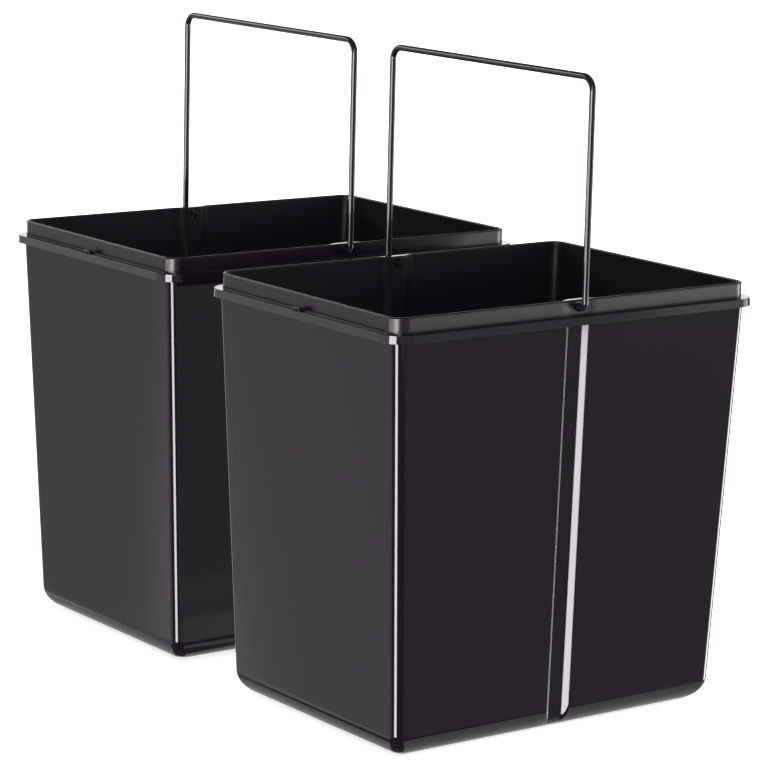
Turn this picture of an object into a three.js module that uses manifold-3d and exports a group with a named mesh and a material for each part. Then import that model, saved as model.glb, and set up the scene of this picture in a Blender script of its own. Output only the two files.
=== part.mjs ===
// A pair of tapered waste buckets for a pull-out kitchen unit, each with a bent-wire carrying handle.
// Millimetres, +Z up. X runs along the wide side of a bucket, Y from the front bucket to the rear one.
// The origin is on the floor, in the middle of the pair.
import * as THREE from 'three';
import { mergeVertices } from 'three/addons/utils/BufferGeometryUtils.js';
import Module from 'manifold-3d';

const wasm = await Module();
wasm.setup();

// Bucket, outside sizes
const collarWidth = 320;
const collarDepth = 223;
const floorWidth = 292;
const floorDepth = 206;
const bucketHeight = 320;
const collarHeight = 11.3;
const wall = 2.2;
const collarCornerRadius = 11;
const bodyCornerRadius = 7;
const floorRounding = 18;
const bucketGap = 50;

// Flange around the bucket, with a skirt that turns down at its edge
const flangeOverhang = 6.5;
const flangeThickness = 2;
const skirtHeight = 6;
const skirtFlare = 0.4;
const edgeRounding = 0.6;

// Upright channel in the front and the back wall
const channelWidth = 20.4;
const channelFloorWidth = 12;
const channelDepth = 4.2;

// Shallow pocket in the collar over the channel, where the handle's end goes through a thicker wall
const pocketWidth = 33;
const pocketFloorWidth = 11;
const pocketDepth = 1.4;
const pivotWall = 5;

// Rest for the folded handle, standing on the flange's edge in the middle of each side
const restWidth = 7;
const restTopDepth = 3.2;

// Wire handle
const wireRadius = 2.4;
const handleRise = 158;
const legStandOff = 4;
const legBendRadius = 5;
const topBendRadius = 10;
const wireEndLength = 2.5;
const pivotClearance = 0.3;
const foldClearance = 0.3;

// Fineness of the facets
const cornerSteps = 6;
const roundingSteps = 6;
const channelSteps = 4;
const bendSteps = 7;
const wireSides = 12;

// Places that follow from the sizes above
const flangeTop = bucketHeight - collarHeight;
const skirtBottom = flangeTop - skirtHeight;
const pivotHeight = flangeTop + collarHeight / 2;
const restHeight = pivotHeight - wireRadius - foldClearance - flangeTop;
const pocketFace = collarDepth / 2 - pocketDepth;
const pivotInnerFace = pocketFace - pivotWall;
const legOffset = collarDepth / 2 + legStandOff + wireRadius;
const barHeight = bucketHeight + handleRise;
const bucketPitch = collarDepth + 2 * flangeOverhang + bucketGap;

const plastic = new THREE.MeshStandardMaterial({ color: 0x1d1b1f, roughness: 0.22, metalness: 0 });
const wire = new THREE.MeshStandardMaterial({ color: 0x2a2a2d, roughness: 0.25, metalness: 0.9 });

const mergeTolerance = 1e-5;
const quarter = Math.PI / 2;
const lerp = (from, to, share) => from + (to - from) * share;
const straight = (share) => share;
const eased = (share) => share * share * (3 - 2 * share);

function toSolid(geometry) {
  const bare = geometry.clone();
  bare.deleteAttribute('normal');
  bare.deleteAttribute('uv');
  const merged = mergeVertices(bare, mergeTolerance);
  const vertProperties = new Float32Array(merged.attributes.position.array);
  const triVerts = new Uint32Array(merged.index.array);
  return new wasm.Manifold(new wasm.Mesh({ numProp: 3, vertProperties, triVerts }));
}

function toGeometry(solid) {
  const mesh = solid.getMesh();
  const geometry = new THREE.BufferGeometry();
  geometry.setAttribute('position', new THREE.BufferAttribute(mesh.vertProperties, 3));
  geometry.setIndex(new THREE.BufferAttribute(mesh.triVerts, 1));
  geometry.computeVertexNormals();
  return geometry;
}

// Half the outside width and depth of the tapered body at a height
function bodyHalf(height) {
  const share = Math.min(height / flangeTop, 1);
  return [lerp(floorWidth, collarWidth, share) / 2, lerp(floorDepth, collarDepth, share) / 2];
}

// The two recesses, as their half widths, their depth and the form of their sides
const channel = {
  outer: channelWidth / 2,
  floor: channelFloorWidth / 2,
  depth: channelDepth,
  form: straight,
};
const pocket = {
  outer: pocketWidth / 2,
  floor: pocketFloorWidth / 2,
  depth: pocketDepth,
  form: eased,
};

// The channel as it stands out on the inside, widened so that its sides at 45 degrees keep the wall
const widening = wall * (Math.SQRT2 - 1);
const innerChannel = {
  outer: channel.outer + widening,
  floor: channel.floor + widening,
  depth: channel.depth,
  form: channel.form,
};

// The pocket as it stands out on the inside, where it makes the wall thicker
const innerPocket = {
  outer: pocket.outer,
  floor: pocket.floor,
  depth: pocket.depth + pivotWall - wall,
  form: pocket.form,
};

// One level of the bucket: a rounded rectangle with a recess in the middle of its two long sides.
// inset is how far a rounded bottom edge has already drawn the level in, so the recess shows less.
function ring(halfX, halfY, height, radius, recess, inset = 0) {
  const side = [];
  for (let i = 0; i <= channelSteps; i += 1) {
    const share = i / channelSteps;
    const depth = Math.max(0, recess.depth * recess.form(share) - inset);
    side.push([lerp(recess.outer, recess.floor, share), depth]);
  }
  const recessRow = [...side.map(([x, depth]) => [-x, depth]), ...side.reverse()];
  const points = [];
  const corner = (centreX, centreY, start) => {
    for (let i = 0; i <= cornerSteps; i += 1) {
      const angle = start + (quarter * i) / cornerSteps;
      const x = centreX + radius * Math.cos(angle);
      const y = centreY + radius * Math.sin(angle);
      points.push(new THREE.Vector3(x, y, height));
    }
  };
  corner(-halfX + radius, -halfY + radius, 2 * quarter);
  recessRow.forEach(([x, depth]) => points.push(new THREE.Vector3(x, -halfY + depth, height)));
  corner(halfX - radius, -halfY + radius, 3 * quarter);
  corner(halfX - radius, halfY - radius, 0);
  recessRow.forEach(([x, depth]) => points.push(new THREE.Vector3(-x, halfY - depth, height)));
  corner(-halfX + radius, halfY - radius, quarter);
  return points;
}

// Skin through a list of rings of equal length, closed by a fan at each end
function loft(rings) {
  const count = rings[0].length;
  const positions = rings.flat().flatMap((point) => [point.x, point.y, point.z]);
  const index = [];
  for (let level = 0; level < rings.length - 1; level += 1) {
    for (let i = 0; i < count; i += 1) {
      const next = (i + 1) % count;
      const lower = level * count;
      const upper = lower + count;
      index.push(lower + i, lower + next, upper + next, lower + i, upper + next, upper + i);
    }
  }
  const last = (rings.length - 1) * count;
  const firstCentre = positions.length / 3;
  positions.push(0, 0, rings[0][0].z, 0, 0, rings[rings.length - 1][0].z);
  for (let i = 0; i < count; i += 1) {
    const next = (i + 1) % count;
    index.push(firstCentre, next, i, firstCentre + 1, last + i, last + next);
  }
  const geometry = new THREE.BufferGeometry();
  geometry.setAttribute('position', new THREE.Float32BufferAttribute(positions, 3));
  geometry.setIndex(index);
  return geometry;
}

// The levels from the middle of the floor, up the outside, over the rim and down the inside
function bucketRings() {
  const rings = [];
  const plain = { ...channel, depth: 0 };
  for (let i = 0; i <= roundingSteps; i += 1) {
    const angle = (quarter * i) / roundingSteps;
    const inset = floorRounding * (1 - Math.sin(angle));
    const height = floorRounding * (1 - Math.cos(angle));
    const [halfX, halfY] = bodyHalf(height);
    rings.push(ring(halfX - inset, halfY - inset, height, bodyCornerRadius, channel, inset));
  }
  const underFlange = flangeTop - flangeThickness;
  const [neckX, neckY] = bodyHalf(underFlange);
  rings.push(ring(neckX, neckY, underFlange, bodyCornerRadius, channel));

  // A level of the flange or the collar, measured out from the collar's outside
  const level = (out, height, recess) => {
    const radius = Math.max(collarCornerRadius + out, 1);
    rings.push(ring(collarWidth / 2 + out, collarDepth / 2 + out, height, radius, recess));
  };
  const skirtInside = flangeOverhang - flangeThickness;
  level(skirtInside, underFlange, plain);
  level(skirtInside + skirtFlare, skirtBottom, plain);
  level(flangeOverhang + skirtFlare, skirtBottom, plain);
  level(flangeOverhang, flangeTop - edgeRounding, plain);
  level(flangeOverhang - edgeRounding, flangeTop, plain);
  level(0, flangeTop, pocket);
  level(0, bucketHeight - edgeRounding, pocket);
  level(-edgeRounding, bucketHeight, pocket);
  level(edgeRounding - wall, bucketHeight, innerPocket);
  level(-wall, bucketHeight - edgeRounding, innerPocket);
  level(-wall, flangeTop - flangeThickness, innerPocket);

  const innerRadius = bodyCornerRadius - wall;
  const innerLevel = (height, inset) => {
    const [halfX, halfY] = bodyHalf(height);
    const drawIn = inset + wall;
    rings.push(ring(halfX - drawIn, halfY - drawIn, height, innerRadius, innerChannel, inset));
  };
  innerLevel(skirtBottom - wall, 0);
  const innerRounding = floorRounding - wall;
  for (let i = roundingSteps; i >= 0; i -= 1) {
    const angle = (quarter * i) / roundingSteps;
    const inset = innerRounding * (1 - Math.sin(angle));
    innerLevel(floorRounding - innerRounding * Math.cos(angle), inset);
  }
  return rings;
}

// The block that the handle's bar lies on when it is folded to the side that sideSign gives.
// Its outer face is flush with the flange's edge, and its back slopes down to the foot of the collar.
function handleRest(sideSign) {
  const sunk = wall / 2;
  const outline = new THREE.Shape([
    new THREE.Vector2(-sunk, -sunk),
    new THREE.Vector2(flangeOverhang, -sunk),
    new THREE.Vector2(flangeOverhang, restHeight),
    new THREE.Vector2(flangeOverhang - restTopDepth, restHeight),
    new THREE.Vector2(0, 0),
    new THREE.Vector2(-sunk, 0),
  ]);
  const geometry = new THREE.ExtrudeGeometry(outline, { depth: restWidth, bevelEnabled: false });
  geometry.translate(0, 0, -restWidth / 2);
  geometry.rotateX(quarter);
  if (sideSign < 0) {
    geometry.rotateZ(Math.PI);
  }
  geometry.translate((sideSign * collarWidth) / 2, 0, flangeTop);
  return toSolid(geometry);
}

// A cutter for the hole that a wire end turns in, through the wall of the pocket
function pivotHole(sideSign) {
  const length = 3 * pivotWall;
  const geometry = new THREE.CylinderGeometry(
    wireRadius + pivotClearance,
    wireRadius + pivotClearance,
    length,
    2 * wireSides,
  );
  geometry.translate(0, sideSign * (pocketFace - pivotWall / 2), pivotHeight);
  return toSolid(geometry);
}

function makeBucketGeometry() {
  let solid = toSolid(loft(bucketRings()));
  for (const sideSign of [-1, 1]) {
    solid = solid.add(handleRest(sideSign)).subtract(pivotHole(sideSign));
  }
  return toGeometry(solid);
}

// The wire's centre line in the YZ plane: straight runs joined by round bends, given by its stations.
// Only the bends are divided, so a straight run is a single step.
class WirePath extends THREE.Curve {
  constructor(stations) {
    super();
    this.stations = stations;
  }

  locate(share) {
    const place = share * (this.stations.length - 1);
    const before = Math.min(Math.floor(place), this.stations.length - 2);
    return [this.stations[before], this.stations[before + 1], place - before];
  }

  getPoint(share, target = new THREE.Vector3()) {
    const [from, to, part] = this.locate(share);
    return target.copy(from.point).lerp(to.point, part);
  }

  getPointAt(share, target) {
    return this.getPoint(share, target);
  }

  getTangentAt(share, target = new THREE.Vector3()) {
    const [from, to, part] = this.locate(share);
    return target.copy(from.tangent).lerp(to.tangent, part).normalize();
  }
}

// Stations of one round bend of the wire, turning clockwise from the heading startAngle
function bend(centreY, centreZ, radius, startAngle) {
  const stations = [];
  for (let i = 0; i <= bendSteps; i += 1) {
    const angle = startAngle - (quarter * i) / bendSteps;
    const y = centreY - radius * Math.sin(angle);
    const z = centreZ + radius * Math.cos(angle);
    const point = new THREE.Vector3(0, y, z);
    const tangent = new THREE.Vector3(0, Math.cos(angle), Math.sin(angle));
    stations.push({ point, tangent });
  }
  return stations;
}

function makeHandleGeometry() {
  const endY = pivotInnerFace - wireEndLength;
  const legBendY = legOffset - legBendRadius;
  const legBendZ = pivotHeight + legBendRadius;
  const topBendY = legOffset - topBendRadius;
  const topBendZ = barHeight - topBendRadius;
  const endHeading = new THREE.Vector3(0, -1, 0);
  const stations = [
    { point: new THREE.Vector3(0, -endY, pivotHeight), tangent: endHeading },
    ...bend(-legBendY, legBendZ, legBendRadius, 2 * quarter),
    ...bend(-topBendY, topBendZ, topBendRadius, quarter),
    ...bend(topBendY, topBendZ, topBendRadius, 0),
    ...bend(legBendY, legBendZ, legBendRadius, -quarter),
    { point: new THREE.Vector3(0, endY, pivotHeight), tangent: endHeading },
  ];
  const section = new THREE.Shape();
  section.absarc(0, 0, wireRadius, 0, 4 * quarter);
  const geometry = new THREE.ExtrudeGeometry(section, {
    steps: stations.length - 1,
    curveSegments: wireSides / 2,
    extrudePath: new WirePath(stations),
    bevelEnabled: false,
  });
  return toGeometry(toSolid(geometry));
}

function place(name, geometry, material, alongY) {
  const mesh = new THREE.Mesh(geometry, material);
  mesh.name = name;
  mesh.position.y = alongY;
  return mesh;
}

const group = new THREE.Group();
const bucketGeometry = makeBucketGeometry();
const handleGeometry = makeHandleGeometry();
for (const [prefix, alongY] of [['front', -bucketPitch / 2], ['rear', bucketPitch / 2]]) {
  group.add(place(`${prefix}_bucket`, bucketGeometry, plastic, alongY));
  group.add(place(`${prefix}_handle`, handleGeometry, wire, alongY));
}

export default group;
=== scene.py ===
import math

import bmesh
import bpy
import numpy as np
from mathutils import Matrix, Vector


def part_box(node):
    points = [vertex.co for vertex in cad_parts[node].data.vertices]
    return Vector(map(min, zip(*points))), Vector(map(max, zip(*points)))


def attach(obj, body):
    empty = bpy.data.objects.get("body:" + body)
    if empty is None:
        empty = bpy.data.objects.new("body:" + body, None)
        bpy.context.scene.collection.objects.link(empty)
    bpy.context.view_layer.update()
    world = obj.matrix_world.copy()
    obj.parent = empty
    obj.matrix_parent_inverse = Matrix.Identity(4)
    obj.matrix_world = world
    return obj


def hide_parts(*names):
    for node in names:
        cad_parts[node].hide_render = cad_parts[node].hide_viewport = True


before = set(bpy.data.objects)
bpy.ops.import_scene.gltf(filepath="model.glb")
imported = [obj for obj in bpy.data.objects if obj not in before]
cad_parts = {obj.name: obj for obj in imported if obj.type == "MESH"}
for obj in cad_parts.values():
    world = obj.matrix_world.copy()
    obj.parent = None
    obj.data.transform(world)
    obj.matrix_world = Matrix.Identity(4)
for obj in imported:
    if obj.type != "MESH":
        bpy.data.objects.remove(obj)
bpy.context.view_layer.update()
print("frame: loaded")

mm = 0.001
quarter = math.pi / 2   # a quarter turn


def linearColour(hexColour):
    # sRGB hex to linear light, by the sRGB curve: a straight foot, then a power
    channels = [int(hexColour[i:i + 2], 16) / 255 for i in (1, 3, 5)]
    return [c / 12.92 if c <= 0.04045 else ((c + 0.055) / 1.055) ** 2.4 for c in channels] + [1.0]


def addNode(tree, kind, settings=None, links=None):
    # one node with its settings (a socket by name or number, or else a property) and its links
    node = tree.nodes.new(kind)
    for name, value in (settings or {}).items():
        if isinstance(name, int) or name in node.inputs:
            node.inputs[name].default_value = value
        else:
            setattr(node, name, value)
    for name, output in (links or {}).items():
        tree.links.new(output, node.inputs[name])
    return node


def newMaterial(name):
    # a material with an empty node tree
    material = bpy.data.materials.new(name)
    material.use_nodes = True
    material.node_tree.nodes.clear()
    return material


def newObject(name, data):
    # an object at the origin for a mesh, a lamp or a camera, linked to the scene
    thing = bpy.data.objects.new(name, data)
    bpy.context.scene.collection.objects.link(thing)
    return thing


def smoothStep(share):
    # 0 below 0 and 1 above 1, with t squared times (3 - 2t) in between
    t = np.clip(share, 0, 1)
    return t * t * (3 - 2 * t)


def gridFaces(rows, columns):
    # quads between neighbouring rows of a grid whose columns close on themselves
    row, column = np.meshgrid(np.arange(rows - 1), np.arange(columns), indexing="ij")
    lower = row * columns + column
    lowerNext = row * columns + (column + 1) % columns
    quads = np.stack([lower, lowerNext, lowerNext + columns, lower + columns], axis=-1)
    return quads.reshape(-1, 4)


def closedTube(name, grid, startPole, endPole):
    # a mesh from a grid of points (rows, columns, 3), each end closed by triangles to a pole
    rows, columns = grid.shape[:2]
    vertices = np.concatenate([grid.reshape(-1, 3), [startPole, endPole]])
    around = np.arange(columns)
    after = (around + 1) % columns
    startFan = np.stack([after, around, np.full(columns, rows * columns)], axis=-1)
    last = (rows - 1) * columns
    endFan = np.stack([last + around, last + after, np.full(columns, rows * columns + 1)], axis=-1)
    faces = gridFaces(rows, columns).tolist() + startFan.tolist() + endFan.tolist()
    mesh = bpy.data.meshes.new(name)
    mesh.from_pydata(vertices.tolist(), [], faces)
    return newObject(name, mesh)


def recalculated(piece):
    # the same piece with its faces turned outwards, whatever way its grid ran
    work = bmesh.new()
    work.from_mesh(piece.data)
    bmesh.ops.recalc_face_normals(work, faces=work.faces)
    work.to_mesh(piece.data)
    work.free()
    return piece


def smoothShade(piece, sharpDegrees):
    # smooth shading, except over an edge whose two faces turn by more than the given angle
    piece.data.polygons.foreach_set("use_smooth", np.ones(len(piece.data.polygons), bool))
    piece.data.set_sharp_from_angle(angle=math.radians(sharpDegrees))


camera = {
    "place": (-1.47187, -2.02878, 0.71799),
    "azimuth": 36.275,                # degrees from +Y towards +X that it looks along
    "elevation": 11.355,              # degrees that it looks down
    "roll": 1.352,                    # degrees that the picture leans
    "lens": 154.71, "sensor": 36,     # mm
    "nearest": 0.1, "farthest": 50,   # metres, the range that it sees
}


def makeCamera():
    # azimuth and elevation give the direction ahead, and the roll turns the level right and the
    # upright, which are square to it, about it
    azimuth, elevation, roll = (math.radians(camera[k]) for k in ("azimuth", "elevation", "roll"))
    ahead = Vector((math.sin(azimuth) * math.cos(elevation),
                    math.cos(azimuth) * math.cos(elevation), -math.sin(elevation)))
    level = Vector((math.cos(azimuth), -math.sin(azimuth), 0))
    upright = level.cross(ahead)
    right = math.cos(roll) * level + math.sin(roll) * upright
    up = -math.sin(roll) * level + math.cos(roll) * upright
    data = bpy.data.cameras.new("camera")
    data.lens, data.sensor_width = camera["lens"], camera["sensor"]
    data.clip_start, data.clip_end = camera["nearest"], camera["farthest"]
    eye = newObject("camera", data)
    turn = Matrix((right, up, -ahead)).transposed().to_4x4()
    eye.matrix_world = Matrix.Translation(camera["place"]) @ turn
    bpy.context.scene.camera = eye


makeCamera()
print("camera: set")


bucket = {   # mm, outside sizes
    "collarWidth": 320, "collarDepth": 223, "floorWidth": 292, "floorDepth": 206,
    "height": 320, "collarHeight": 11.3, "wall": 2.2,
    "collarCorner": 11, "bodyCorner": 7, "floorRounding": 18,
    "flangeOverhang": 6.5, "flangeThickness": 2, "skirtHeight": 6, "skirtFlare": 0.4,
    "edgeRounding": 0.3, "lipRounding": 0.1, "footFillet": 0.1, "rimRounding": 1.0,
    "channel": (10.2, 6, 4.2),    # half width at the mouth, half width of the floor, depth
    "pocket": (16.5, 5.5, 0.7),   # the same, of the dent in the collar at each pivot
    "pocketEase": 26,             # height over which the pocket's inner hump becomes the channel's
    "pivotWall": 5.7,             # the collar's thickness at the pivot
    "pivotHole": 2.7,             # the hole's radius
    # distances into the collar from its face, and what the hole's radius gains there
    "holeFlare": ((-3, 0.45), (-0.001, 0.45), (0, 0.45), (0.35, 0.12), (0.7, 0)),
    "restWidth": 7, "restTopDepth": 2.4, "restFillet": 0.15, "restBackRounding": 0.3,
    "restUndercut": 0.05,         # how far the rest's hidden foot stands back from its outer face
    "sharpAngle": 32,             # degrees, past which an edge isn't shaded smooth
}
bucketGrid = {   # how finely the surface is divided, and the rows that hold its flat faces flat
    "cornerSteps": 14, "runSteps": 8, "roundingSteps": 14, "edgeSteps": 5, "wallSteps": 12,
    "easeSteps": 13, "restSteps": 4, "holeSteps": 48,
    "floorRows": (60, 12, 2),     # mm in from the bottom rounding
    "wallFoot": (1, 6),           # mm up from the bottom rounding
    "wallHead": (4, 1.5),         # mm down from the flange
    "underFlangeRow": 1.2,        # mm out from the collar
    "skirtRows": (0.01, 0.3, 0.9),     # shares of the height of the skirt's outside
    "flangeRow": 0.1,             # mm out from the fillet at the collar's foot
    "collarRows": (0.12, 0.5, 0.85),   # shares of the collar's height
    "rimRow": 0.02,               # mm in from the rim's two roundings
    "insideHead": (2, 1),         # mm down from the rim, and up from the flange's underside
    "belowEase": 5,               # mm down from the end of the pocket's hump
    "besideCorner": 1.2, "besideRecess": 1,   # mm from a corner or a recess to the straight run
}
# columns across a side of a recess, as shares of the way from its mouth to its floor
recess = {
    "rounding": 0.05,             # how far each rounded edge reaches to both sides
    "before": -0.45, "flank": (0.25, 0.38, 0.5, 0.62, 0.75), "after": 1.35,
    "softStart": 0.04,            # how softly it rises out of the bottom rounding
}
glossPart, grainPart, insidePart = 0, 1, 2   # numbers of the bucket's three finishes; the inside's lighter colour is painted light

flangeTop = bucket["height"] - bucket["collarHeight"]
underFlange = flangeTop - bucket["flangeThickness"]
skirtBottom = flangeTop - bucket["skirtHeight"]
pivotHeight = flangeTop + bucket["collarHeight"] / 2
channel, pocket = bucket["channel"], bucket["pocket"]
plain = (channel[0], channel[1], 0)   # no recess, in the channel's columns
# inside, the channel's 45 degree flanks stand out by the wall times (root 2 - 1), which keeps the
# wall as thick as elsewhere, and the pocket's hump makes it as thick as the pivot needs
flankOut = bucket["wall"] * (math.sqrt(2) - 1)
innerChannel = (channel[0] + flankOut, channel[1] + flankOut, channel[2])
innerPocket = (pocket[0], pocket[1], pocket[2] + bucket["pivotWall"] - bucket["wall"])


def bodyHalf(z):
    # half the outside width and depth of the tapered body: straight from the floor to the flange
    share = z / flangeTop
    halfX = (bucket["floorWidth"] + (bucket["collarWidth"] - bucket["floorWidth"]) * share) / 2
    halfY = (bucket["floorDepth"] + (bucket["collarDepth"] - bucket["floorDepth"]) * share) / 2
    return halfX, halfY


levelSettings = ("halfX", "halfY", "z", "radius", "mouth", "floor", "depth", "eased", "inset",
                 "part")


def levels(halfX, halfY, z, radius, recessSizes, eased=0.0, inset=0.0, part=glossPart):
    # one row of settings in millimetres for each level, in the order of levelSettings: half sizes,
    # height, corner radius, the recess's three sizes and how smooth its flanks are, how far the
    # bottom rounding draws the wall in, and the finish
    settings = np.broadcast_arrays(halfX, halfY, z, radius, *recessSizes, eased, inset, part)
    return np.stack([np.atleast_1d(np.asarray(s, float)) for s in settings], axis=-1)


def settingsOf(rows, *names):
    # the named settings of all levels, each as a column
    return [rows[:, [levelSettings.index(name)]] for name in names]


def collarLevels(out, z, recessSizes, eased=0.0, part=glossPart):
    # levels of the flange or the collar, measured out from the collar's outside
    out = np.asarray(out, float)
    return levels(bucket["collarWidth"] / 2 + out, bucket["collarDepth"] / 2 + out, z,
                  bucket["collarCorner"] + out, recessSizes, eased, part=part)


def arc(start, stop, centreOut, centreZ, radius):
    # points of a round edge in the plane of out and up, between two angles in degrees
    angle = np.radians(np.linspace(start, stop, bucketGrid["edgeSteps"] + 1))
    return centreOut + radius * np.cos(angle), centreZ + radius * np.sin(angle)


def outsideLevels():
    # from the middle of the underside over the bottom rounding, a quarter circle that the corner
    # radius doesn't take part in, and up the straight tapered wall
    b, g = bucket, bucketGrid
    corner, rounding = b["bodyCorner"], b["floorRounding"]
    bottomX, bottomY = bodyHalf(0)
    flat = rounding + np.array(g["floorRows"])
    floorRows = levels(bottomX - flat, bottomY - flat, 0, corner, plain)
    angle = np.linspace(0, quarter, g["roundingSteps"] + 1)
    inset = rounding * (1 - np.sin(angle))
    z = rounding * (1 - np.cos(angle))
    halfX, halfY = bodyHalf(z)
    roundingRows = levels(halfX - inset, halfY - inset, z, corner, channel, inset=inset)
    first, second = g["wallFoot"]
    beforeLast, last = g["wallHead"]
    z = np.concatenate([[rounding + first],
                        np.linspace(rounding + second, underFlange - beforeLast, g["wallSteps"]),
                        [underFlange - last, underFlange - b["footFillet"]]])
    return [floorRows, roundingRows, levels(*bodyHalf(z), z, corner, channel)]


def flangeLevels():
    # round the fillet and out under the flange, down the skirt's inside, round its lip, up its
    # flared outside, round the top edge and in over the flange
    b, g = bucket, bucketGrid
    edge, lip, fillet = b["edgeRounding"], b["lipRounding"], b["footFillet"]
    overhang, flare = b["flangeOverhang"], b["skirtFlare"]
    skirtInside, skirtOutside = overhang - b["flangeThickness"], overhang + flare
    lipCentre, edgeCentre = skirtBottom + lip, flangeTop - edge
    up = np.array(g["skirtRows"])
    out, z = (values[1:] for values in arc(180, 90, fillet, underFlange - fillet, fillet))
    halfX, halfY = bodyHalf(underFlange)
    return [
        levels(halfX + out, halfY + out, z, b["bodyCorner"] + out, channel),
        collarLevels(g["underFlangeRow"], underFlange, plain),
        collarLevels(*arc(90, 0, skirtInside - fillet, underFlange - fillet, fillet), plain),
        collarLevels(*arc(180, 270, skirtInside + flare + lip, lipCentre, lip), plain),
        collarLevels(*arc(270, 360, skirtOutside - lip, lipCentre, lip), plain),
        collarLevels(skirtOutside - flare * up, lipCentre + (edgeCentre - lipCentre) * up, plain),
        collarLevels(*arc(0, 90, overhang - edge, edgeCentre, edge), plain),
        collarLevels([overhang - 2 * edge, fillet + g["flangeRow"]], flangeTop, plain),
    ]


def rimLevels():
    # up the collar's grained outside and over the rim, which is round at both edges
    b, g = bucket, bucketGrid
    fillet, rounding, top = b["footFillet"], b["rimRounding"], b["height"]
    up = np.array(g["collarRows"])
    inner = rounding - b["wall"]
    return [
        collarLevels(*arc(270, 180, fillet, flangeTop + fillet, fillet), pocket, 1.0, grainPart),
        collarLevels(0, flangeTop + b["collarHeight"] * up, pocket, 1.0, grainPart),
        collarLevels(*arc(0, 90, -rounding, top - rounding, rounding), pocket, 1.0, grainPart),
        collarLevels(-rounding - g["rimRow"], top, pocket, 1.0),
        collarLevels(inner + g["rimRow"], top, innerPocket, 1.0),
        collarLevels(*arc(90, 180, inner, top - rounding, rounding), innerPocket, 1.0, insidePart),
    ]


def insideLevels():
    # down the collar's inside, where a smooth step turns the pocket's hump into the channel's, down
    # the tapered wall, whose corner radius shrinks evenly, and over the inner rounding to the
    # middle of the floor
    b, g = bucket, bucketGrid
    wall, radius = b["wall"], b["bodyCorner"] - b["wall"]
    fromRim, fromFlange = g["insideHead"]
    collarRows = collarLevels(-wall, [b["height"] - fromRim, underFlange + fromFlange],
                              innerPocket, 1.0, insidePart)
    share = np.linspace(0, 1, g["easeSteps"])
    ease = smoothStep(share)
    z = underFlange - b["pocketEase"] * share
    halfX, halfY = bodyHalf(z)
    mixed = [a + (c - a) * ease for a, c in zip(innerPocket, innerChannel)]
    easeRows = levels(halfX - wall, halfY - wall, z, b["collarCorner"] - wall, mixed, 1 - ease,
                      part=insidePart)
    z = np.linspace(underFlange - b["pocketEase"] - g["belowEase"],
                    b["floorRounding"] + g["wallFoot"][0], g["wallSteps"])
    halfX, halfY = bodyHalf(z)
    extra = (b["collarCorner"] - b["bodyCorner"]) * np.linspace(1, 0, g["wallSteps"])
    wallRows = levels(halfX - wall, halfY - wall, z, radius + extra, innerChannel, part=insidePart)
    rounding = b["floorRounding"] - wall
    angle = np.linspace(quarter, 0, g["roundingSteps"] + 1)
    inset = rounding * (1 - np.sin(angle))
    z = b["floorRounding"] - rounding * np.cos(angle)
    halfX, halfY = bodyHalf(z)
    roundingRows = levels(halfX - wall - inset, halfY - wall - inset, z, radius, innerChannel,
                          inset=inset, part=insidePart)
    bottomX, bottomY = bodyHalf(0)
    flat = b["floorRounding"] + np.array(g["floorRows"][::-1])
    floorRows = levels(bottomX - wall - flat, bottomY - wall - flat, wall, radius, plain,
                       part=insidePart)
    return [collarRows, easeRows, wallRows, roundingRows, floorRows]


def softClamp(share, rounding):
    # 0 below 0, share in between and 1 above 1, as the difference of two ramps with a soft start
    def ramp(t):
        # t above r, and between -r and r the parabola that joins it to 0: the square of t + r over 4r
        return np.where(t > rounding, t, np.clip(t + rounding, 0, None) ** 2 / (4 * rounding))
    return ramp(share) - ramp(share - 1)


def recessColumns(rows, side):
    # a long side from end to end: straight runs, and the recess in the middle. Its depth follows
    # the share of the way from its mouth to its floor by a ramp with rounded ends, or by a smooth
    # step where eased is 1. side is -1 at the front and 1 at the back
    halfX, halfY, radius, mouth, floor, depth, eased, inset = settingsOf(
        rows, "halfX", "halfY", "radius", "mouth", "floor", "depth", "eased", "inset")
    near = np.array([-1, -0.5, 0, 0.5, 1]) * recess["rounding"]
    share = np.concatenate([[recess["before"]], near, recess["flank"], 1 - near[::-1],
                            [recess["after"]]])
    recessX = mouth - (mouth - floor) * share
    recessDepth = depth * (softClamp(share, recess["rounding"]) * (1 - eased)
                           + smoothStep(share) * eased)
    # over the bottom rounding the recess shows only by what it is deeper than the rounding's inset,
    # with a soft start: half the sum of that difference and the root of its square plus a small
    # product
    deeper = recessDepth - inset
    softStart = recess["softStart"] * inset * recessDepth
    recessDepth = np.where(inset > 0, (deeper + np.sqrt(deeper ** 2 + softStart)) / 2, recessDepth)
    runStart = recessX[:, :1] + bucketGrid["besideRecess"]
    runEnd = halfX - radius - bucketGrid["besideCorner"]
    run = runEnd + (runStart - runEnd) * np.linspace(0, 1, bucketGrid["runSteps"])
    halfSide = np.concatenate([run, recessX], axis=1)
    halfDepth = np.concatenate([0 * run, recessDepth], axis=1)
    x = np.concatenate([-halfSide, 0 * halfX, halfSide[:, ::-1]], axis=1)
    inward = np.concatenate([halfDepth, halfDepth[:, -1:], halfDepth[:, ::-1]], axis=1)
    return -side * x, side * (halfY - inward)


def cornerColumns(rows, signX, signY, start):
    # a quarter circle about the corner's centre
    halfX, halfY, radius = settingsOf(rows, "halfX", "halfY", "radius")
    angle = start + np.linspace(0, quarter, bucketGrid["cornerSteps"] + 1)
    x = signX * (halfX - radius) + radius * np.cos(angle)
    y = signY * (halfY - radius) + radius * np.sin(angle)
    return x, y


def shortColumns(rows, signX):
    # a short side, a straight run between its corners
    halfX, halfY, radius = settingsOf(rows, "halfX", "halfY", "radius")
    share = np.linspace(-1, 1, bucketGrid["runSteps"] + 2)
    run = (halfY - radius - bucketGrid["besideCorner"]) * share * signX
    return signX * halfX + 0 * run, run


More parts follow.
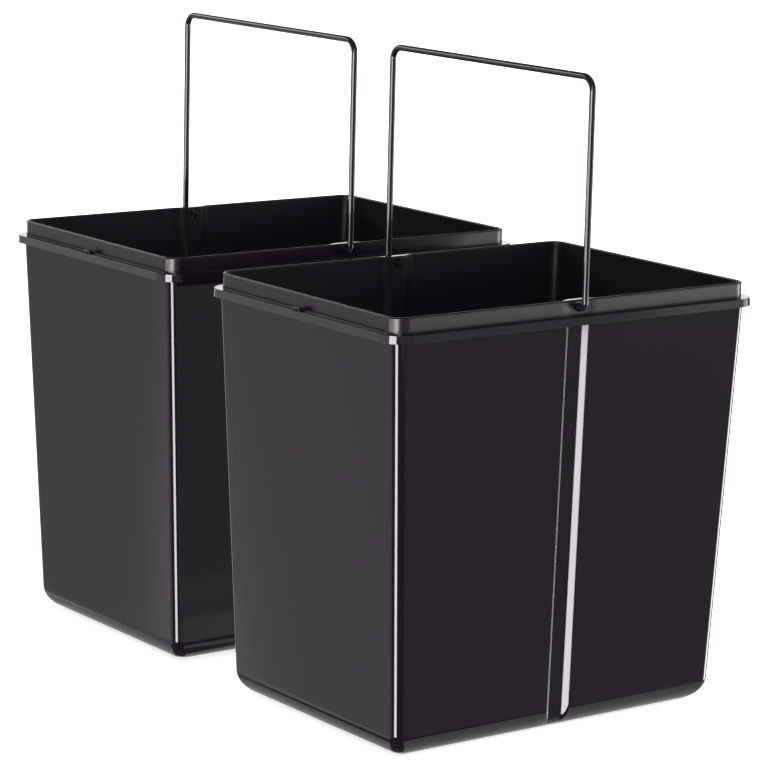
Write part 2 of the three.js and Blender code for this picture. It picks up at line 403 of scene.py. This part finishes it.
def bucketSurface():
    # the grid of points, each level once round, counter-clockwise seen from above, and the finish
    # of each level
    rows = np.concatenate(outsideLevels() + flangeLevels() + rimLevels() + insideLevels())
    parts = [cornerColumns(rows, -1, -1, 2 * quarter), recessColumns(rows, -1),
             cornerColumns(rows, 1, -1, 3 * quarter), shortColumns(rows, 1),
             cornerColumns(rows, 1, 1, 0), recessColumns(rows, 1),
             cornerColumns(rows, -1, 1, quarter), shortColumns(rows, -1)]
    x, y = (np.concatenate(columns, axis=1) for columns in zip(*parts))
    z, part = settingsOf(rows, "z", "part")
    return np.stack([x, y, z + 0 * x], axis=-1), part[:, 0]


def holeCutter(centre, side):
    # a plug for the pivot hole, a profile turned about Y whose radius grows in a small flare at
    # both faces of the collar
    outer = bucket["collarDepth"] / 2 - pocket[2]
    inner = outer - bucket["pivotWall"]
    intoWall, flare = np.array(bucket["holeFlare"]).T
    along = np.concatenate([inner + intoWall, outer - intoWall[::-1]]) * side
    radius = bucket["pivotHole"] + np.concatenate([flare, flare[::-1]])[:, None]
    turn = np.linspace(0, 4 * quarter, bucketGrid["holeSteps"], endpoint=False)
    x = radius * np.cos(turn)
    z = pivotHeight + radius * np.sin(turn)
    grid = np.stack([x, along[:, None] + 0 * x, z], axis=-1) * mm + centre
    poles = np.array([(0, y, pivotHeight) for y in along[[0, -1]]]) * mm + centre
    return closedTube("holeCutter", grid, *poles)


def restBlock(centre, side):
    # the rest for the folded handle's bar: a profile in X and Z with an upright outer face, a flat
    # top and a back that slopes to the collar's foot, carried along Y and drawn in at both ends by
    # a quarter circle
    b = bucket
    outer, fillet, rounding = b["flangeOverhang"], b["restFillet"], b["restBackRounding"]
    top = pivotHeight - b["pivotHole"] - flangeTop
    back = outer - b["restTopDepth"]
    sunk = b["wall"] / 2   # how deep the block reaches into the flange and the collar
    half = b["restWidth"] / 2
    angle = np.radians(np.linspace(0, 90, bucketGrid["restSteps"] + 1))
    out = np.concatenate([[-sunk, -sunk, outer - b["restUndercut"]],
                          outer - fillet + fillet * np.cos(angle),
                          back + rounding - rounding * np.sin(angle[::2]), [0]])
    up = np.concatenate([[0, -sunk, -sunk], top - fillet + fillet * np.sin(angle),
                         top - rounding + rounding * np.cos(angle[::2]), [0]])
    toEnd, drawn = fillet - fillet * np.cos(angle), fillet - fillet * np.sin(angle)
    along = np.concatenate([-half + toEnd, half - toEnd[::-1]])
    drawn = np.concatenate([drawn, drawn[::-1]])[:, None]
    middleOut = outer / 2

    def placed(out, along, up):
        # out from the collar, along its side and up from the flange, to metres in the frame
        across = side * (b["collarWidth"] / 2 + out)
        return np.stack([across, side * along, flangeTop + up], axis=-1) * mm + centre

    x = middleOut + (out - middleOut) * (1 - drawn / middleOut)
    z = -sunk + (up + sunk) * (1 - drawn / top)
    grid = placed(x, along[:, None] + 0 * x, z)
    # each end's pole lies low enough to see the whole profile, which is hollow at the collar's foot
    poles = [placed(middleOut, end, -sunk / 2) for end in along[[0, -1]]]
    return closedTube("restBlock", grid, *poles)


def booleanWith(piece, tool, operation):
    # the piece's mesh becomes its union with the tool or its difference from it, and the tool goes
    modifier = piece.modifiers.new("boolean", "BOOLEAN")
    modifier.operation = operation
    modifier.solver = "MANIFOLD"
    modifier.object = tool
    depsgraph = bpy.context.evaluated_depsgraph_get()
    joined = bpy.data.meshes.new_from_object(piece.evaluated_get(depsgraph))
    piece.modifiers.clear()
    old = piece.data
    piece.data = joined
    bpy.data.meshes.remove(old)
    bpy.data.objects.remove(tool)


def makeBucket(name, centreY, materials):
    # the grid of levels as one closed shell, with the middle of the floor as both poles, then a
    # rest added on each short side and a pivot hole cut in each long one. A face between two
    # finishes takes the higher number
    centre = np.array([0, centreY, 0])
    grid, part = bucketSurface()
    piece = closedTube(name, grid * mm + centre, centre, centre + [0, 0, bucket["wall"] * mm])
    columns = grid.shape[1]
    facePart = np.concatenate([np.repeat(np.maximum(part[:-1], part[1:]), columns),
                               np.full(columns, glossPart), np.full(columns, insidePart)])
    for material in materials:
        piece.data.materials.append(material)
    piece.data.polygons.foreach_set("material_index", facePart.astype(np.int32))
    recalculated(piece)
    for side in (-1, 1):
        booleanWith(piece, recalculated(restBlock(centre, side)), "UNION")
        booleanWith(piece, recalculated(holeCutter(centre, side)), "DIFFERENCE")
    piece.data.name = name
    smoothShade(piece, bucket["sharpAngle"])
    return piece


handle = {   # mm
    "wireRadius": 2.4, "barHeight": 478, "legOffset": 117.9, "legBend": 5, "topBend": 10,
    "endInside": 102.6, "endRounding": 0.5,
    "around": 32, "bendSteps": 14, "legSteps": 10, "endSteps": 4,
    "besideBend": 2,    # from a bend to the first ring of the straight run
    "sharpAngle": 60,   # degrees, past which an edge isn't shaded smooth
}


def bendPoints(centreY, centreZ, radius, start):
    # a quarter circle of the wire's centre line, turning clockwise from the heading start
    angle = start - np.linspace(0, quarter, handle["bendSteps"] + 1)
    y, z = centreY - radius * np.sin(angle), centreZ + radius * np.cos(angle)
    return np.stack([y, z, angle], axis=-1)


def straightPoints(y, z, heading):
    # even steps of a straight run of the wire's centre line, between the two values of y and of z
    steps = handle["legSteps"]
    return np.stack([np.linspace(*y, steps), np.linspace(*z, steps), np.full(steps, heading)],
                    axis=-1)


def makeHandle(name, centreY, material):
    # a circle carried along the centre line and square to it: end, bend, leg, bend, bar, bend, leg,
    # bend, end. A heading is the angle from +Y towards +Z, and a quarter circle rounds each end
    h = handle
    gap, leg, bar = h["besideBend"], h["legOffset"], h["barHeight"]
    legY, topY = leg - h["legBend"], leg - h["topBend"]
    legZ, topZ = pivotHeight + h["legBend"], bar - h["topBend"]
    rounding = np.linspace(0, quarter, h["endSteps"] + 1)[1:]
    endY = h["endInside"] + h["endRounding"] * (1 - np.sin(rounding))
    endRadius = h["wireRadius"] - h["endRounding"] * (1 - np.cos(rounding))
    endZ = pivotHeight + 0 * endY
    outward = 2 * quarter
    stations = np.concatenate([
        np.stack([-endY[::-1], endZ, outward + 0 * endY], axis=-1),
        bendPoints(-legY, legZ, h["legBend"], outward),
        straightPoints((-leg, -leg), (legZ + gap, topZ - gap), quarter),
        bendPoints(-topY, topZ, h["topBend"], quarter),
        straightPoints((gap - topY, topY - gap), (bar, bar), 0),
        bendPoints(topY, topZ, h["topBend"], 0),
        straightPoints((leg, leg), (topZ - gap, legZ + gap), -quarter),
        bendPoints(legY, legZ, h["legBend"], -quarter),
        np.stack([endY, endZ, -outward + 0 * endY], axis=-1),
    ])
    radius = np.full((len(stations), 1), h["wireRadius"])
    radius[:len(endY), 0] = endRadius[::-1]
    radius[-len(endY):, 0] = endRadius
    turn = np.linspace(0, 4 * quarter, h["around"], endpoint=False)
    stationY, stationZ, heading = (stations[:, [i]] for i in range(3))
    x = radius * np.cos(turn)
    across = radius * np.sin(turn)
    y = stationY - across * np.sin(heading)
    z = stationZ + across * np.cos(heading)
    centre = np.array([0, centreY, 0])
    grid = np.stack([x, y, z], axis=-1) * mm + centre
    poles = [np.array([0, sign * h["endInside"], pivotHeight]) * mm + centre for sign in (-1, 1)]
    piece = closedTube(name, grid, *poles)
    piece.data.materials.append(material)
    recalculated(piece)
    smoothShade(piece, h["sharpAngle"])
    return piece


plastic = {
    # the inside colour is the outside's plastic painted a touch lighter: painted light for inside
    # walls that the lamps leave too dark
    "colour": "#0f0b11", "insidePaintedLightColour": "#130f15", "ior": 1.49,
    "glossRoughness": 0.075, "grainRoughness": 0.26, "insideRoughness": 0.3,
    "peelSize": 2.5, "peelHeight": 0.0015,      # mm, the faint waviness of a polished mould
    "grainSize": 0.5, "grainHeight": 0.006,     # mm, an eroded texture, coarser than the real one
    "flowSize": 70, "roughnessSpread": 0.02,    # mm, slow changes of gloss from the melt's flow
}
wire = {
    "colour": "#151217", "ior": 1.5, "roughness": 0.11, "roughnessSpread": 0.03,
    "peelSize": 1.6, "peelHeight": 0.0008,      # mm, the waviness of a cured powder coat
}


def polypropylene(name, colour, roughness, bumpSize, bumpHeight):
    # black polypropylene, injection moulded: a dark body under a clear skin that copies the mould,
    # nearly mirror-smooth where it was polished and silky where it was eroded. Slow noise varies
    # the gloss and fine noise gives the bump, each with a scale of one over its size
    material = newMaterial(name)
    tree = material.node_tree
    place = addNode(tree, "ShaderNodeTexCoord").outputs["Object"]
    flow = addNode(tree, "ShaderNodeTexNoise",
                   {"Scale": 1 / (plastic["flowSize"] * mm), "Detail": 3.0}, {"Vector": place})
    gloss = addNode(tree, "ShaderNodeMapRange",
                    {"To Min": roughness - plastic["roughnessSpread"],
                     "To Max": roughness + plastic["roughnessSpread"]},
                    {"Value": flow.outputs["Fac"]})
    grain = addNode(tree, "ShaderNodeTexNoise", {"Scale": 1 / (bumpSize * mm), "Detail": 2.0},
                    {"Vector": place})
    bump = addNode(tree, "ShaderNodeBump", {"Strength": 1.0, "Distance": bumpHeight * mm},
                   {"Height": grain.outputs["Fac"]})
    shader = addNode(tree, "ShaderNodeBsdfPrincipled",
                     {"Base Color": linearColour(colour), "IOR": plastic["ior"]},
                     {"Roughness": gloss.outputs["Result"], "Normal": bump.outputs["Normal"]})
    addNode(tree, "ShaderNodeOutputMaterial", {}, {"Surface": shader.outputs["BSDF"]})
    return material


def powderCoat(name):
    # steel wire with a black powder coat, baked to a smooth and slightly wavy gloss: one fine noise
    # gives both the bump and the small changes of gloss
    material = newMaterial(name)
    tree = material.node_tree
    place = addNode(tree, "ShaderNodeTexCoord").outputs["Object"]
    peel = addNode(tree, "ShaderNodeTexNoise",
                   {"Scale": 1 / (wire["peelSize"] * mm), "Detail": 2.0}, {"Vector": place})
    gloss = addNode(tree, "ShaderNodeMapRange",
                    {"To Min": wire["roughness"] - wire["roughnessSpread"],
                     "To Max": wire["roughness"] + wire["roughnessSpread"]},
                    {"Value": peel.outputs["Fac"]})
    bump = addNode(tree, "ShaderNodeBump", {"Strength": 1.0, "Distance": wire["peelHeight"] * mm},
                   {"Height": peel.outputs["Fac"]})
    shader = addNode(tree, "ShaderNodeBsdfPrincipled",
                     {"Base Color": linearColour(wire["colour"]), "IOR": wire["ior"]},
                     {"Roughness": gloss.outputs["Result"], "Normal": bump.outputs["Normal"]})
    addNode(tree, "ShaderNodeOutputMaterial", {}, {"Surface": shader.outputs["BSDF"]})
    return material


# in the order of glossPart, grainPart and insidePart
bucketMaterials = [
    polypropylene("glossyPolypropylene", plastic["colour"], plastic["glossRoughness"],
                  plastic["peelSize"], plastic["peelHeight"]),
    polypropylene("grainedPolypropylene", plastic["colour"], plastic["grainRoughness"],
                  plastic["grainSize"], plastic["grainHeight"]),
    # the inside copy: rougher, and lighter in colour as painted light
    polypropylene("insidePolypropyleneWithPaintedLight", plastic["insidePaintedLightColour"], plastic["insideRoughness"],
                  plastic["peelSize"], plastic["peelHeight"]),
]
wireMaterial = powderCoat("powderCoatedWire")
print("materials: made")


for place in ("front", "rear"):
    low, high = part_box(place + "_bucket")
    centreY = (low.y + high.y) / 2
    body = makeBucket(place + "Bucket", centreY, bucketMaterials)
    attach(body, place + "_bucket")
    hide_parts(place + "_bucket")
    bail = makeHandle(place + "Handle", centreY, wireMaterial)
    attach(bail, place + "_handle")
    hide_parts(place + "_handle")
    print(place, "bucket and handle: made,", len(body.data.polygons), "and",
          len(bail.data.polygons), "faces")


studio = {
    "floorSize": 14.0, "floorDrop": 0.2,       # metres, and mm that it lies below the object
    "floorColour": "#f4f4f4", "floorRoughness": 0.6, "floorGlow": 0.75,
    "white": 1.05,                # what the camera sees behind the object
    "fill": 0.1,                  # what the object sees all round
    "tint": (1.0, 0.95, 1.0),     # the lamps' slight magenta
    "overhead": 3.4,              # strength of the wide overhead light
    "overheadFrom": (-45, 62),    # its azimuth and elevation, like those of the soft boxes below
    "overheadAngle": 130,         # degrees that it fills, seen from the object
    "boxDistance": 5.0, "boxCentre": 0.2,      # metres, from the object and above the floor
}
# soft boxes: azimuth from -Y towards -X and elevation of the box's middle, its width and its
# height, all in degrees seen from the object, and its radiance
softBoxes = {
    "key": (58.5, -18.5, 25, 15, 18.0),
    "keyTop": (66.5, -0.5, 31, 7, 18.0),
    "keyBand": (66.5, -7.5, 31, 7, 9.5),
    "keyBandFar": (100, -7.5, 36, 6, 9.0),
    "left": (128.4, -18, 36.8, 26, 0.51),
    "leftFar": (164.8, -18, 36, 26, 0.41),
    "leftTop": (146, -1.5, 70, 7, 0.95),
    "leftTopNear": (96.5, -1.5, 29, 7, 0.95),
    "leftHigh": (150, 24, 40, 18, 4.0),
    "cornerBand": (-1, -11.6, 60, 3, 0.8),
    "cornerTop": (10, 0, 62, 10, 0.3),
    "front": (-39, -17, 16, 22, 0.19),
    "frontTop": (-30, 3, 18, 20, 0.4),
    "rightNear": (-45, 2.5, 12, 17, 1.1),
    "rightBand": (-51.5, -7.7, 47, 3.6, 3.5),
    "right": (-68, 3, 34, 18, 4.0),
    "rightLowNear": (-52, -18, 8, 14, 1.0),
    "rightLow": (-68, -17, 24, 16, 14.0),
    "backdrop": (203, -14, 64, 22, 1.8),
    "backdropTop": (210, 10, 60, 8, 1.8),
    "insideKey": (45, 14, 24, 20, 6.0),
    "belowRight": (-98, -42, 88, 36, 0.65),
    "belowLeft": (187, -38, 50, 22, 0.5),
}
# a pale card between the buckets, in mm, for the face that the front bucket would darken
card = {"width": 310, "height": 290, "radiance": 0.3}


def makeFloor():
    # one square just under the object, lit mostly by its own glow. Only the camera sees it, because
    # some soft boxes stand partly below it and it would hide them from the object
    half, under = studio["floorSize"] / 2, -studio["floorDrop"] * mm
    mesh = bpy.data.meshes.new("floor")
    corners = [(-half, -half, under), (half, -half, under),
               (half, half, under), (-half, half, under)]
    mesh.from_pydata(corners, [], [(0, 1, 2, 3)])
    floor = newObject("floor", mesh)
    material = newMaterial("whiteTable")
    tree = material.node_tree
    colour = linearColour(studio["floorColour"])
    shader = addNode(tree, "ShaderNodeBsdfPrincipled",
                     {"Base Color": colour, "Roughness": studio["floorRoughness"],
                      "Specular IOR Level": 0.0, "Emission Color": colour,
                      "Emission Strength": studio["floorGlow"]})
    addNode(tree, "ShaderNodeOutputMaterial", {}, {"Surface": shader.outputs["BSDF"]})
    mesh.materials.append(material)
    floor.visible_glossy = False
    floor.visible_diffuse = False
    floor.visible_shadow = False


def makeWorld():
    # pure white behind the object, and an even dim surround for its reflections
    world = bpy.data.worlds.new("studio")
    bpy.context.scene.world = world
    world.use_nodes = True
    tree = world.node_tree
    tree.nodes.clear()
    seen = addNode(tree, "ShaderNodeLightPath").outputs["Is Camera Ray"]
    surround = addNode(tree, "ShaderNodeBackground",
                       {"Color": (*studio["tint"], 1), "Strength": studio["fill"]})
    white = addNode(tree, "ShaderNodeBackground",
                    {"Color": (1, 1, 1, 1), "Strength": studio["white"]})
    both = addNode(tree, "ShaderNodeMixShader", {},
                   {0: seen, 1: surround.outputs[0], 2: white.outputs[0]})
    addNode(tree, "ShaderNodeOutputWorld", {}, {"Surface": both.outputs[0]})


def directionOf(azimuth, elevation):
    # the unit direction from the object: azimuth from -Y towards -X, elevation up from the level
    azimuth, elevation = math.radians(azimuth), math.radians(elevation)
    return Vector((-math.sin(azimuth) * math.cos(elevation),
                   -math.cos(azimuth) * math.cos(elevation), math.sin(elevation)))


def makeLamp(name, kind, place, aim):
    # a lamp out of the camera's sight, which shines along its own -Z
    lamp = newObject(name, bpy.data.lights.new(name, kind))
    lamp.location = place
    lamp.rotation_euler = aim.to_track_quat("-Z", "Y").to_euler()
    lamp.visible_camera = False
    return lamp


def makePanel(name, place, aim, width, height, radiance):
    # an evenly glowing rectangle: its power is its radiance times pi times its area
    data = makeLamp(name, "AREA", place, aim).data
    data.shape = "RECTANGLE"
    data.size, data.size_y = width, height
    data.energy = radiance * math.pi * data.size * data.size_y
    return data


def makeSoftBox(name, azimuth, elevation, width, height, radiance):
    # a panel that faces the object's middle. Its size is twice the distance times the tangent of
    # half the angle that it fills
    towards, distance = directionOf(azimuth, elevation), studio["boxDistance"]
    place = Vector((0, 0, studio["boxCentre"])) + towards * distance
    sizes = (2 * distance * math.tan(math.radians(angle / 2)) for angle in (width, height))
    panel = makePanel(name, place, -towards, *sizes, radiance)
    panel.color = studio["tint"]


def makeStudio():
    # the table, the surround, the card between the buckets, the soft boxes and the overhead light
    makeFloor()
    makeWorld()
    height = card["height"] * mm
    makePanel("card", (0, 0, height / 2), Vector((0, 1, 0)), card["width"] * mm, height,
              card["radiance"])
    for name, box in softBoxes.items():
        makeSoftBox(name, *box)
    overhead = makeLamp("overhead", "SUN", (0, 0, 0), -directionOf(*studio["overheadFrom"]))
    overhead.data.energy = studio["overhead"]
    overhead.data.angle = math.radians(studio["overheadAngle"])
    overhead.visible_glossy = False
    bpy.context.scene.view_settings.view_transform = "Standard"


makeStudio()
print("studio: lit")
